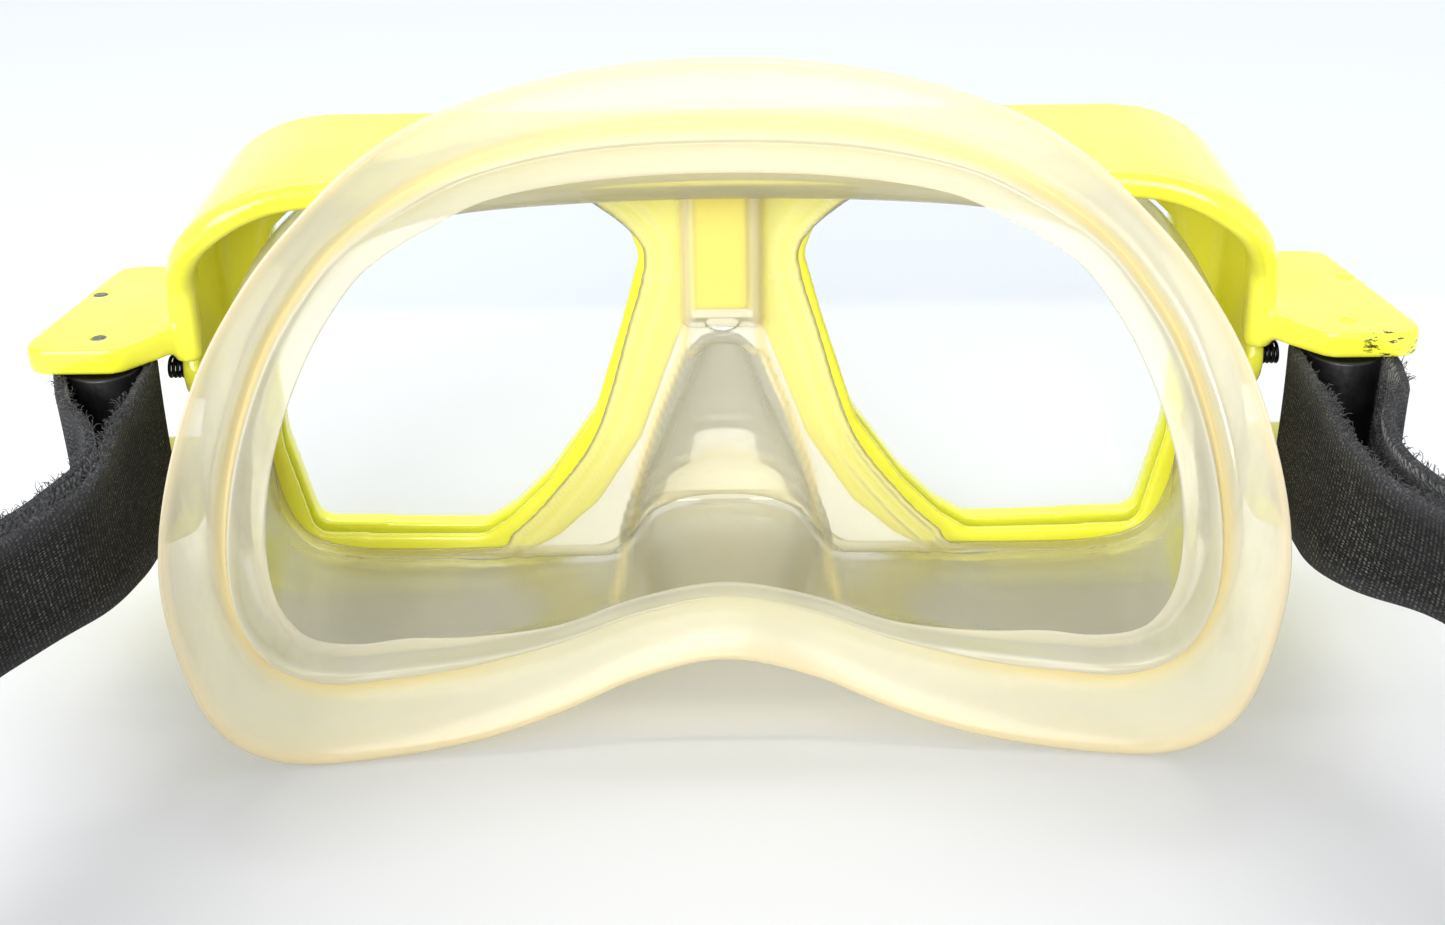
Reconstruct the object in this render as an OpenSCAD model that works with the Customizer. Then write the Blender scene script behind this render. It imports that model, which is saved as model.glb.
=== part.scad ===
// Diving mask: moulded frame, two lenses, silicone skirt and a hook-and-loop head strap.
// +X is the wearer's right-hand side of the rear view, +Y is forward through the lenses, +Z is up.

/* [Frame] */
// Outer width of the hood
hood_w = 162; // [160:1:166]
// Height of the hood's flat top
hood_h = 79; // [75:1:84]
// Radius of the hood's upper corners
hood_corner_r = 21; // [16:1:24]
// Wall thickness of the frame
wall = 2.7; // [2:0.1:3.2]
// Thickness of the hood's rear bead
bead = 4; // [3.2:0.1:4.5]
// Depth of the bead along the hood
bead_depth = 4; // [3:0.5:6]
// Depth of the hood's rear edge at the middle, measured from the face line
hood_mid_y = 15; // [14:1:22]

/* [Lenses] */
// Thickness of the glass
lens_t = 3.5; // [3:0.5:3.5]
// Overlap of the glass on the frame's ledge
lens_seat = 2.8; // [2:0.1:3]

/* [Skirt] */
// Thickness of the sealing lips at their free edges
lip_edge_t = 1.1; // [0.8:0.1:1.6]
// Thickness of the side wall
skirt_wall = 2; // [1.5:0.1:2.4]
// Forward reach of the nose pocket
nose_front = 50; // [46:1:54]

/* [Strap hardware] */
// Diameter of the steel pins
pin_d = 2.2; // [2:0.1:2.4]
// Radius of the strap roller
roller_r = 5.5; // [4.5:0.1:5.5]
// Thickness of each ear plate
ear_t = 4.2; // [3.5:0.1:4.5]
// Radius of the lever's hub
hub_r = 3; // [2.5:0.1:3]

/* [Strap] */
// Width of the hook-and-loop webbing
strap_w = 25; // [23:0.5:25]
// Thickness of the webbing with its pile
strap_t = 1.8; // [1.2:0.1:2]
// Height of the padded back band
pad_h = 50; // [40:1:50]
// Thickness of the padded back band
pad_t = 5; // [3:0.5:5]

/* [Hidden] */
$fn = 64;

half_w = hood_w / 2;
// Depths of the layers, from the face forwards
web_y = 31.3;
web_t = 2.5;
plate_y = 34;
ledge_t = 2;
lens_y = plate_y + ledge_t;
bezel_y = lens_y + lens_t;
bezel_t = 3.5;
front_y = bezel_y + bezel_t;
// Rear edges of the lower walls
side_rear_y = 23;
bottom_rear_y = 26;
// Radius and centre of the forehead arc that the hood's rear edge follows
brow_x = 68;
brow_rear_y = 5;
brow_sag = hood_mid_y - brow_rear_y;
brow_r = (brow_x * brow_x + brow_sag * brow_sag) / (2 * brow_sag);
brow_cy = hood_mid_y - brow_r;
hood_rear_y = 4.5;
nose_wall_x = 44;
// Rib behind the bridge, which shows through a slot in the skirt
bridge_w = 8;
bridge_h = 20;
bridge_low_z = 49.5;
bridge_rear_y = 29;
bridge_gap = 0.4;
// Lug that backs each lever spring
lug_y = 19.5;
lug_z = 46.3;
lug_r = 5.5;
// Ear plates
ear_top = 56;
ear_low_top = 26.2;
ear_corner_r = 3;
gap_h = ear_top - ear_t - ear_low_top;
ear_mid_z = ear_low_top + gap_h / 2;
roller_at = [90.2, 8.2];
lever_at = [94.6, 24.3];
run_gap = 0.06;
end_gap = 0.35;
part_gap = 0.3;
// Where the back band ends, for centring the model
back_y = -165;
mid_y = (nose_front + back_y) / 2;

// Outline of the right lens opening, x outwards and y up
lens_outline = [[13, 57], [16, 46], [21.7, 28], [29.7, 16.5], [36, 10], [41, 6.8], [69, 7.5], [72.5, 24],
    [73, 44], [70, 62], [61, 70], [27, 70.5], [20.5, 66.5], [14.5, 61.5]];
// Nose gap of the frame, right half from the bridge down
nose_gap = [[0, 47.5], [4.5, 47.5], [7, 43], [13.5, 25], [21, 13], [28, 6.5], [36, 2], [44, -2], [0, -2]];
// Lever outline: grip nose, then thumb tab
lever_outline = [[95.5, 21.6], [90.6, 16.9], [88.2, 16.9], [86.9, 17.8], [87.2, 19.6], [92, 25.4],
    [95, 42], [96.6, 42], [97.4, 25.5]];
// Ear plate outline
ear_outline = [[79.5, 11], [86.5, 3.4], [100.8, 3.4], [94.3, 35.5], [79.5, 35.5]];

// Five loops of the skirt, right half, each from the forehead round to the upper lip
// Outer edge of the sealing lip
lip_half = [[0, 2, 97.5], [20, 0.5, 96], [37.5, -3, 91.8], [48, -7.5, 86.5], [56, -11, 79.5],
    [62, -15, 73], [68, -21, 63.5], [72, -27, 52], [74.3, -30, 40], [74.5, -29.5, 28],
    [72.8, -27, 14], [69, -24, 5.5], [62, -21.3, 0.8], [50, -19.5, 0.4], [36, -17.5, 2],
    [24, -15, 5], [13, -12.5, 9], [0, -12, 12]];
// Groove between the two lips
groove_half = [[0, 3.2, 87.6], [18.5, 2.2, 86.9], [34, 0, 83.8], [43.5, -3.2, 79.8], [50.5, -6.3, 75.4],
    [55.5, -9.5, 70.5], [61, -14.5, 62.5], [65, -20.5, 51.5], [67, -24.5, 40], [67, -25.4, 30],
    [64.9, -24, 22], [61.8, -21.3, 16.5], [56.5, -18.5, 12.8], [48.5, -16.8, 12.4], [36, -14.6, 13],
    [24, -12.2, 15], [13, -10, 18.5], [0, -9.4, 21]];
// Free edge of the inner lip
inner_half = [[0, 5.5, 80.3], [17, 4.6, 79.8], [31, 2.3, 78.2], [38.5, 0, 75.4], [45.5, -3, 72.2],
    [50.3, -6, 68.6], [56, -12, 60.5], [60, -19, 50], [61.5, -23, 39.5], [61.2, -23.5, 31],
    [59.2, -22.4, 25], [56.4, -20.8, 21.8], [51, -18.6, 19.9], [45, -16.8, 19.6], [36, -14.2, 18],
    [24, -11.8, 18.2], [13, -9.6, 21.2], [0, -9, 23.4]];
// Side wall where it passes the hood's rear edge
waist_half = [[0, 14.2, 74.2], [19, 13, 74.2], [36, 10, 74], [46, 6.5, 73], [53.5, 3, 71],
    [59.5, 0.5, 67.5], [65.5, -3, 60.5], [70, -6, 50.5], [72, -8, 40], [72, -8, 29],
    [70.3, -7, 19], [66.5, -5, 12], [60, -3, 8.5], [50, -1.5, 7.6], [38, 0, 7.2],
    [25, 2, 7.8], [13, 4, 9], [0, 5, 9.8]];
// Front edge of the side wall in the front view
root_half = [[0, 72.5], [20, 72.5], [38, 72.3], [49, 71.8], [57, 70.3], [64, 67], [70, 61],
    [75, 50], [76.3, 40], [76.3, 28], [75, 15], [71, 7], [63, 3.8], [51, 3.3], [38, 3.4],
    [26, 3.6], [13, 3.8], [0, 4]];

// Route of the strap from the roller to the middle of the back, right half
strap_half = [[83.2, -5], [84, -16], [87, -26], [92.5, -36], [98, -48], [102, -62], [103.5, -78],
    [102.5, -95], [98.5, -112], [91, -128], [80, -141], [64, -152], [44, -160], [22, -164.6], [0, -166]];
tail_open = [[95.2, -4], [91.8, -13], [92.2, -22], [95.8, -33], [101, -46]];
tail_gap = 3.4;
closed_from = 5;
closed_to = 7.6;
pad_from = 8;
webbing_to = 10.5;
strap_drop_from = 5;
strap_drop_to = 9;

// ---- curves ----
function spline(a, b, c, d, t) = 0.5 * (2 * b + (c - a) * t + (2 * a - 5 * b + 4 * c - d) * t * t
    + (3 * b - a - 3 * c + d) * t * t * t);
function at_loop(p, i) = p[(i + len(p)) % len(p)];
function smooth_loop(p, k) = [for (i = [0:len(p) - 1], j = [0:k - 1])
    spline(at_loop(p, i - 1), p[i], at_loop(p, i + 1), at_loop(p, i + 2), j / k)];
function at_line(p, i) = i < 0 ? 2 * p[0] - p[1]
    : i >= len(p) ? 2 * p[len(p) - 1] - p[len(p) - 2] : p[i];
function on_line(p, s) = let (i = max(0, min(floor(s), len(p) - 2)))
    spline(at_line(p, i - 1), p[i], p[i + 1], at_line(p, i + 2), s - i);
function mirror_x(p) = len(p) == 3 ? [-p[0], p[1], p[2]] : [-p[0], p[1]];
function full_loop(half) = concat(half, [for (i = [len(half) - 2:-1:1]) mirror_x(half[i])]);
function unit(v) = v / norm(v);
function left_of(v) = [-v[1], v[0]];
// Unit vector across a line, to the left of its direction
function side_at(p, s) = left_of(unit(on_line(p, s + 0.05) - on_line(p, s - 0.05)));

// ---- swept solids ----
// A closed tube of rings that share one number of points
module swept(rings, closed = false) {
    n = len(rings);
    m = len(rings[0]);
    last = closed ? n - 1 : n - 2;
    sides = [for (i = [0:last], j = [0:m - 1])
        let (a = i * m, b = ((i + 1) % n) * m, k = (j + 1) % m) each
        [[a + j, b + j, b + k], [a + j, b + k, a + k]]];
    caps = closed ? [] : [[for (j = [0:m - 1]) j], [for (j = [m - 1:-1:0]) (n - 1) * m + j]];
    polyhedron(points = [for (r = rings) each r], faces = concat(sides, caps), convexity = 6);
}

// A flat band that stands on its edge: stations are [x, y, z, across x, across y]
module band(stations, t, h) {
    swept([for (s = stations) [
        [s[0] - s[3] * t / 2, s[1] - s[4] * t / 2, s[2] - h / 2],
        [s[0] + s[3] * t / 2, s[1] + s[4] * t / 2, s[2] - h / 2],
        [s[0] + s[3] * t / 2, s[1] + s[4] * t / 2, s[2] + h / 2],
        [s[0] - s[3] * t / 2, s[1] - s[4] * t / 2, s[2] + h / 2]]]);
}

// Everything is laid out from the face line, then centred over its own box
module placed(side = 1) {
    translate([0, -mid_y, 0])
        if (side > 0) children();
        else mirror([1, 0, 0]) children();
}

// A plate drawn in the front view and given a depth along Y
module slab(y, depth) {
    translate([0, y + depth, 0]) rotate([90, 0, 0]) linear_extrude(depth) children();
}

module both() {
    children();
    mirror([1, 0, 0]) children();
}

// ---- outlines in the front view ----
module lens_shape(grow = 0) {
    offset(r = grow, $fn = 32) offset(r = 2.5, $fn = 32) offset(delta = -2.5) polygon(lens_outline);
}

module hood_shape(inset = 0) {
    offset(delta = -inset) union() {
        translate([-half_w + hood_corner_r, hood_h - hood_corner_r]) circle(hood_corner_r);
        translate([half_w - hood_corner_r, hood_h - hood_corner_r]) circle(hood_corner_r);
        translate([-half_w + hood_corner_r, 20]) square([hood_w - 2 * hood_corner_r, hood_h - 20]);
        translate([-half_w, 20]) square([hood_w, hood_h - hood_corner_r - 20]);
        both() translate([half_w - 12, 12]) circle(12);
        translate([-half_w, 12]) square([hood_w, 10]);
        translate([-half_w + 12, 0]) square([hood_w - 24, 20]);
    }
}

module nose_shape(grow = 0) {
    offset(delta = grow) both() polygon(nose_gap);
}

module front_shape(inset = 0) {
    difference() {
        hood_shape(inset);
        nose_shape(inset);
    }
}

// ---- frame ----
// Everything behind the hood's rear edge, moved forwards by d
module behind_hood(d = 0) {
    translate([0, brow_cy, -1]) cylinder(h = hood_h + 10, r = brow_r + d, $fn = 96);
    translate([-half_w - 5, 0, 0]) rotate([90, 0, 90]) linear_extrude(hood_w + 10) polygon([
        [-60, 90], [hood_rear_y + d, 90], [hood_rear_y + d, 74], [8 + d, 68], [12 + d, 62],
        [12 + d, ear_top - ear_t], [side_rear_y + d, ear_top - ear_t],
        [side_rear_y + d, 14], [bottom_rear_y + d, 10], [bottom_rear_y + d, -5], [-60, -5]]);
}

// Room for the skirt behind the nasal rims
module behind_nose() {
    translate([-nose_wall_x, plate_y - 100, -5]) cube([2 * nose_wall_x, 100, 65]);
}

module hood_walls() {
    difference() {
        slab(-4, plate_y + 4) difference() {
            front_shape();
            front_shape(wall);
        }
        behind_hood();
        behind_nose();
    }
    intersection() {
        difference() {
            slab(-4, plate_y + 4) difference() {
                hood_shape();
                hood_shape(bead);
            }
            behind_hood();
            translate([-100, -20, -1]) cube([200, 80, ear_top - ear_t + 1]);
        }
        behind_hood(bead_depth);
    }
}

module lens_plate() {
    difference() {
        slab(plate_y, bezel_y - plate_y) front_shape();
        slab(plate_y - 1, 10) both() lens_shape();
        slab(lens_y, 10) both() lens_shape(lens_seat + 0.1);
    }
    translate([-bridge_w / 2, bridge_rear_y, bridge_low_z])
        cube([bridge_w, plate_y - bridge_rear_y + 0.5, bridge_h]);
}

module ear_plate(z, t) {
    translate([0, 0, z]) linear_extrude(t)
        offset(r = ear_corner_r, $fn = 32) offset(delta = -ear_corner_r) polygon(ear_outline);
    translate([79.4, 12, z]) cube([4, plate_y - 12, t]);
}

module ears() {
    ear_plate(ear_top - ear_t, ear_t);
    difference() {
        ear_plate(ear_low_top - ear_t, ear_t);
        translate([70, 0, ear_low_top - ear_t - 1]) cube([half_w - 70.2, side_rear_y, ear_t + 2]);
    }
    translate([half_w - wall, lug_y, lug_z]) rotate([0, 90, 0]) cylinder(h = wall, r = lug_r);
    translate([half_w - wall, lug_y, lug_z - lug_r]) cube([wall, side_rear_y - lug_y + 0.5, 2 * lug_r]);
}

module pin_holes() {
    for (at = [roller_at, lever_at])
        translate([at[0], at[1], ear_low_top - ear_t + 1]) cylinder(h = 60, r = pin_d / 2 + 0.02);
}

module frame() {
    color("#F2F54A") placed() difference() {
        union() {
            hood_walls();
            lens_plate();
            both() ears();
        }
        both() pin_holes();
        clip_notches();
    }
}

// ---- front ----
clip_z = 8;
clip_h = 11;
module clip_notches() {
    both() translate([half_w - 1, bottom_rear_y + 3.8, clip_z + 3]) cube([4, 2.4, clip_h - 6]);
}

module front_bezel() {
    color("#E9EC3A") placed() difference() {
        slab(bezel_y, bezel_t) front_shape(1.5);
        slab(bezel_y - 1, 10) both() lens_shape(0.6);
        both() translate([half_w - 4, front_y - 1.5, clip_z - 0.3]) cube([4, 3, clip_h + 0.6]);
    }
}

module bezel_clip(side) {
    color("#D9DC2E") placed(side) {
        translate([half_w + 0.1, bottom_rear_y + 4, clip_z]) cube([1.6, front_y - bottom_rear_y - 4, clip_h]);
        translate([half_w - 3.6, front_y - 1.4, clip_z]) cube([4, 1.4, clip_h]);
        translate([half_w - 0.8, bottom_rear_y + 4, clip_z + 3.2]) cube([1, 2, clip_h - 6.4]);
    }
}

module lens(side) {
    color("#DCE8EA", 0.4) placed(side) slab(lens_y, lens_t) lens_shape(lens_seat);
}

// ---- skirt ----
loop_steps = 2;
lip_loop = smooth_loop(full_loop(lip_half), loop_steps);
groove_loop = smooth_loop(full_loop(groove_half), loop_steps);
inner_loop = smooth_loop(full_loop(inner_half), loop_steps);
waist_loop = smooth_loop(full_loop(waist_half), loop_steps);
root_loop = smooth_loop(full_loop([for (p = root_half) [p[0], web_y, p[1]]]), loop_steps);
// Unit vector into the loop, square to it in the front view
function inward(p, i) = let (t = at_loop(p, i + 1) - at_loop(p, i - 1)) unit([t[2], 0, -t[0]]);
function mix(a, b, k) = a + (b - a) * k;
function forward(p, y) = p + [0, y, 0];
// One section of the skirt: across both lips, inside to the web, outside back to the lip
function skirt_ring(i) = let (lip = lip_loop[i], groove = groove_loop[i], tip = inner_loop[i],
    waist = waist_loop[i], root = root_loop[i],
    waist_in = waist + inward(waist_loop, i) * skirt_wall, root_in = root + inward(root_loop, i) * skirt_wall) [
    lip, forward(mix(lip, groove, 0.5), 0.6), forward(groove, 0.5), forward(mix(groove, tip, 0.15), -0.8),
    tip, forward(tip, lip_edge_t), forward(mix(groove, tip, 0.3), 3), waist_in,
    root_in, forward(root_in, web_t), forward(root, web_t), root, waist,
    forward(mix(groove, lip, 0.06), 3.2), forward(mix(lip, groove, 0.5), 2), forward(lip, lip_edge_t)];

module nose_hull(t) {
    hull() {
        translate([-5.5 + t, web_y + 0.4, 43.5 - t]) cube([11 - 2 * t, 5 - t, 1.5]);
        for (x = [-12.5, 12.5]) translate([x, nose_front - 6, 12])
            sphere(6 - t, $fn = 24);
        translate([-18 + t, web_y + 0.4, 3.9 + t]) cube([36 - 2 * t, 4, 10]);
    }
}

module nose_inside() {
    nose_hull(1.6);
    slab(web_y - 4, 4.9)
        polygon([[-16, 5.9], [16, 5.9], [13.6, 16], [4, 41.6], [-4, 41.6], [-13.6, 16]]);
}

// Thickened line down each side of the nose pocket's mouth
module nose_rib() {
    route = [[6, 33, 44], [8.5, 32.5, 36], [11.5, 32, 27], [14.5, 31.5, 18], [17, 31.5, 9]];
    for (i = [0:3]) hull() {
        translate(route[i]) sphere(1.2, $fn = 12);
        translate(route[i + 1]) sphere(1.2, $fn = 12);
    }
}

module skirt() {
    color("#E8DFC0", 0.7) placed() union() {
        swept([for (i = [0:len(lip_loop) - 1]) skirt_ring(i)], true);
        difference() {
            slab(web_y + 0.13, web_t - 0.26) difference() {
                offset(delta = -0.7) polygon([for (p = root_loop) [p[0], p[2]]]);
                both() lens_shape(1.2);
                translate([-bridge_w / 2 - bridge_gap, bridge_low_z - bridge_gap])
                    square([bridge_w + 2 * bridge_gap, bridge_h + 2 * bridge_gap]);
            }
            nose_inside();
        }
        difference() {
            nose_hull(0);
            nose_inside();
        }
        both() nose_rib();
    }
}

// ---- strap hardware, modelled on the right and mirrored ----
module pin(at, side) {
    color("#9A9A9A") placed(side) translate([at[0], at[1], ear_low_top - ear_t + 1])
        cylinder(h = ear_top - ear_low_top + ear_t - 1.3, r = pin_d / 2);
}

module strap_roller(side) {
    color("#151515") placed(side) translate([roller_at[0], roller_at[1], ear_low_top + end_gap])
        difference() {
            cylinder(h = gap_h - 2 * end_gap, r = roller_r);
            translate([0, 0, -1]) cylinder(h = 40, r = pin_d / 2 + run_gap);
        }
}

module strap_lever(side) {
    color("#1A1A1A") placed(side) difference() {
        translate([0, 0, ear_low_top + end_gap]) {
            translate([lever_at[0], lever_at[1], 0]) cylinder(h = gap_h - 2 * end_gap, r = hub_r);
            linear_extrude(gap_h - 2 * end_gap) polygon(lever_outline);
            translate([95.8, 42, 0]) cylinder(h = gap_h - 2 * end_gap, r = 0.8);
        }
        translate([lever_at[0], lever_at[1], 0]) cylinder(h = 80, r = pin_d / 2 + run_gap);
    }
}

spring_turns = 3;
spring_r = 1.6;
spring_wire_r = 0.28;
spring_len = 2.7;
module lever_spring(side) {
    n = spring_turns * 12;
    color("#222222") placed(side) translate([half_w + 0.05 + spring_wire_r, lug_y - 1, lug_z])
        swept([for (i = [0:n]) let (a = i * 30, x = spring_len * i / n)
            [for (j = [0:5]) let (b = j * 60)
                [x + spring_wire_r * sin(b), (spring_r + spring_wire_r * cos(b)) * cos(a),
                    (spring_r + spring_wire_r * cos(b)) * sin(a)]]]);
}

// ---- strap ----
function strap_z(s) = ear_mid_z + (pad_h / 2 - ear_mid_z)
    * min(1, max(0, (s - strap_drop_from) / (strap_drop_to - strap_drop_from)));
function strap_station(s, shift = 0) = let (p = on_line(strap_half, s), n = side_at(strap_half, s))
    [p[0] + n[0] * shift, p[1] + n[1] * shift, strap_z(s), n[0], n[1]];
function range(a, b, n) = [for (i = [0:n]) a + (b - a) * i / n];
loop_r = roller_r + part_gap + strap_t / 2;
// Round the roller from its outboard side through the front to its inboard side
loop_arc = [for (a = range(0, 180, 10)) [roller_at[0] + loop_r * cos(a), roller_at[1] + loop_r * sin(a),
    ear_mid_z, cos(a), sin(a)]];
// The open stretch of the tail, from the roller back to where it closes on the strap
tail_end = strap_station(closed_from + 0.6, tail_gap);
tail_line = concat([[roller_at[0] + loop_r, roller_at[1]]], tail_open, [[tail_end[0], tail_end[1]]]);
open_tail = [for (s = range(len(tail_line) - 1.2, 0.3, 14))
    let (p = on_line(tail_line, s), n = side_at(tail_line, s)) [p[0], p[1], ear_mid_z, n[0], n[1]]];

module strap_webbing(side) {
    tail = [for (s = range(closed_to, closed_from + 0.9, 6)) strap_station(s, tail_gap)];
    main = [for (s = range(0, webbing_to, 30)) strap_station(s)];
    inward_main = [for (q = main) [q[0], q[1], q[2], -q[3], -q[4]]];
    color("#26262A") placed(side) band(concat(tail, open_tail, loop_arc, inward_main), strap_t, strap_w);
}

module hook_patch(side) {
    color("#101012") placed(side)
        band([for (s = range(closed_from + 1.1, closed_to - 0.15, 8)) strap_station(s, tail_gap / 2)],
            tail_gap - strap_t - 0.4, strap_w - 2);
}

module strap_pad() {
    right = [for (s = range(pad_from, 14, 18)) strap_station(s, -(strap_t + pad_t) / 2 - 0.1)];
    left = [for (i = [len(right) - 2:-1:0]) let (q = right[i]) [-q[0], q[1], q[2], -q[3], q[4]]];
    color("#1C1C1F") placed() band([for (q = concat(right, left)) [q[0], q[1], pad_h / 2, q[3], q[4]]],
        pad_t, pad_h);
}

frame();
front_bezel();
bezel_clip(-1);  // bezel_clip_left
bezel_clip(1);  // bezel_clip_right
lens(-1);  // lens_left
lens(1);  // lens_right
skirt();
pin(roller_at, -1);  // roller_pin_left
pin(roller_at, 1);  // roller_pin_right
strap_roller(-1);  // strap_roller_left
strap_roller(1);  // strap_roller_right
pin(lever_at, -1);  // lever_pin_left
pin(lever_at, 1);  // lever_pin_right
strap_lever(-1);  // strap_lever_left
strap_lever(1);  // strap_lever_right
lever_spring(-1);  // lever_spring_left
lever_spring(1);  // lever_spring_right
strap_webbing(-1);  // strap_webbing_left
strap_webbing(1);  // strap_webbing_right
hook_patch(-1);  // hook_patch_left
hook_patch(1);  // hook_patch_right
strap_pad();
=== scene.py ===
# Diving mask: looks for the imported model, in metres, in the row frame.
import math

import bmesh
import bpy
import numpy as np
from mathutils import Matrix, Vector
from mathutils.geometry import delaunay_2d_cdt


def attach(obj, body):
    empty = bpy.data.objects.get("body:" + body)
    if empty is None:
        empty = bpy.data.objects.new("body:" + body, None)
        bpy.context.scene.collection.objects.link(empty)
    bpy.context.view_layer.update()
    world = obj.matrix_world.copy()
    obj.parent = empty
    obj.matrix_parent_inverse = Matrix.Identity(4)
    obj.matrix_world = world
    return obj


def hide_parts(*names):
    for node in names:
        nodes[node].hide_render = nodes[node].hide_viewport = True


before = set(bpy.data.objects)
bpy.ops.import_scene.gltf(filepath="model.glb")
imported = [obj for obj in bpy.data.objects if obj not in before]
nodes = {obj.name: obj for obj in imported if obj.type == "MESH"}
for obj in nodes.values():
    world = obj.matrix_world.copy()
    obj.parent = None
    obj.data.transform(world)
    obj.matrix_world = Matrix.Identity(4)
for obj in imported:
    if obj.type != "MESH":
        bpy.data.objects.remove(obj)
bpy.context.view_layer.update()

MID_Y = -57.5  # the part is laid out in mm from its face line, then centred over its own box


def place(p):
    """Face-line millimetres to row-frame metres."""
    q = np.asarray(p, float)
    return (q - np.array([0, MID_Y, 0])) / 1000


# ---------------------------------------------------------------- curves
def spline(a, b, c, d, t):
    return 0.5 * (2 * b + (c - a) * t + (2 * a - 5 * b + 4 * c - d) * t * t + (3 * b - a - 3 * c + d) * t**3)


def loop_points(points, k):
    p = np.asarray(points, float)
    n = len(p)
    return np.array([spline(p[i - 1], p[i], p[(i + 1) % n], p[(i + 2) % n], j / k)
                     for i in range(n) for j in range(k)])


def line_points(points, s):
    """Points on an open curve at parameters s, in units of its control points."""
    p = np.asarray(points, float)
    p = np.vstack([2 * p[0] - p[1], p, 2 * p[-1] - p[-2]])
    out = []
    for v in s:
        i = int(max(0, min(math.floor(v), len(p) - 4)))
        out.append(spline(p[i], p[i + 1], p[i + 2], p[i + 3], v - i))
    return np.array(out)


def even(points, count):
    """The same open line with count points at even spacing."""
    p = np.asarray(points, float)
    d = np.r_[0, np.cumsum(np.linalg.norm(np.diff(p, axis=0), axis=1))]
    s = np.linspace(0, d[-1], count)
    return np.column_stack([np.interp(s, d, p[:, k]) for k in range(p.shape[1])])


def full_loop(half):
    half = np.asarray(half, float)
    flip = np.ones(half.shape[1])
    flip[0] = -1
    return np.vstack([half, half[-2:0:-1] * flip])


def step(a, b, v):
    t = np.clip((np.asarray(v, float) - a) / (b - a), 0, 1)
    return t * t * (3 - 2 * t)


# ---------------------------------------------------------------- meshes
def make_mesh(name, verts, faces, mats, smooth=True, face_mats=None):
    mesh = bpy.data.meshes.new(name)
    mesh.from_pydata([tuple(v) for v in verts], [], [tuple(int(i) for i in f) for f in faces])
    mesh.validate()
    obj = bpy.data.objects.new(name, mesh)
    bpy.context.scene.collection.objects.link(obj)
    for m in mats:
        mesh.materials.append(m)
    if face_mats is not None:
        mesh.polygons.foreach_set("material_index", np.asarray(face_mats, np.int32))
    mesh.polygons.foreach_set("use_smooth", [smooth] * len(mesh.polygons))
    return obj


def store(obj, name, values):
    """Give every point of a mesh one number that its material reads."""
    data = obj.data.attributes.new(name, "FLOAT", "POINT").data
    data.foreach_set("value", np.asarray(values, np.float32))


def grid_faces(n, m, wrap_n=False, wrap_m=False):
    return [(i * m + j, i * m + (j + 1) % m, ((i + 1) % n) * m + (j + 1) % m, ((i + 1) % n) * m + j)
            for i in range(n if wrap_n else n - 1) for j in range(m if wrap_m else m - 1)]


def tube(path, radius, sides=12, closed=False):
    """Vertices and faces of a round tube along a path, with flat ends. radius may vary along it."""
    p = np.asarray(path, float)
    r = np.broadcast_to(np.asarray(radius, float), (len(p),))
    t = np.gradient(p, axis=0) if not closed else np.roll(p, -1, 0) - np.roll(p, 1, 0)
    t /= np.linalg.norm(t, axis=1)[:, None]
    up = np.array([0, 0, 1.0]) if abs(t[0][2]) < 0.9 else np.array([1.0, 0, 0])
    a = np.cross(t[0], up)
    verts = []
    for i in range(len(p)):
        a = a - t[i] * (a @ t[i])
        a /= np.linalg.norm(a)
        b = np.cross(t[i], a)
        for k in range(sides):
            w = 2 * math.pi * k / sides
            verts.append(p[i] + r[i] * (math.cos(w) * a + math.sin(w) * b))
    faces = grid_faces(len(p), sides, closed, True)
    if not closed:
        faces += [tuple(range(sides))[::-1], tuple((len(p) - 1) * sides + k for k in range(sides))]
    return np.array(verts), faces


def join_parts(parts):
    verts, faces, n = [], [], 0
    for v, f in parts:
        verts.append(np.asarray(v, float))
        faces += [tuple(i + n for i in q) for q in f]
        n += len(v)
    return np.vstack(verts), faces


def outward(obj):
    bm = bmesh.new()
    bm.from_mesh(obj.data)
    bmesh.ops.recalc_face_normals(bm, faces=bm.faces)
    bm.to_mesh(obj.data)
    bm.free()


def apply_all(obj):
    """Bakes every modifier of obj into its mesh."""
    mats = list(obj.data.materials)
    depsgraph = bpy.context.evaluated_depsgraph_get()
    mesh = bpy.data.meshes.new_from_object(obj.evaluated_get(depsgraph))
    obj.modifiers.clear()
    obj.data = mesh
    if not len(mesh.materials):
        for m in mats:
            mesh.materials.append(m)
    mesh.polygons.foreach_set("use_smooth", [True] * len(mesh.polygons))


def node_copy(node, name, mats):
    mesh = nodes[node].data.copy()
    mesh.materials.clear()
    obj = bpy.data.objects.new(name, mesh)
    bpy.context.scene.collection.objects.link(obj)
    for m in mats:
        mesh.materials.append(m)
    bm = bmesh.new()
    bm.from_mesh(mesh)
    bmesh.ops.remove_doubles(bm, verts=bm.verts, dist=1e-6)
    bmesh.ops.dissolve_limit(bm, angle_limit=math.radians(1), verts=bm.verts, edges=bm.edges)
    bm.to_mesh(mesh)
    bm.free()
    return obj


def moulded(obj, voxel, rounds, factor=0.5):
    """Remeshes a solid and relaxes it, so that its edges come out rounded as in a moulding."""
    mod = obj.modifiers.new("Remesh", "REMESH")
    mod.mode = "VOXEL"
    mod.voxel_size = voxel
    mod.use_smooth_shade = True
    relax = obj.modifiers.new("Relax", "SMOOTH")
    relax.factor = factor
    relax.iterations = rounds
    apply_all(obj)


# ---------------------------------------------------------------- materials
def material(name):
    mat = bpy.data.materials.new(name)
    mat.use_nodes = True
    tree = mat.node_tree
    shader = tree.nodes["Principled BSDF"]
    return mat, tree, shader


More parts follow.
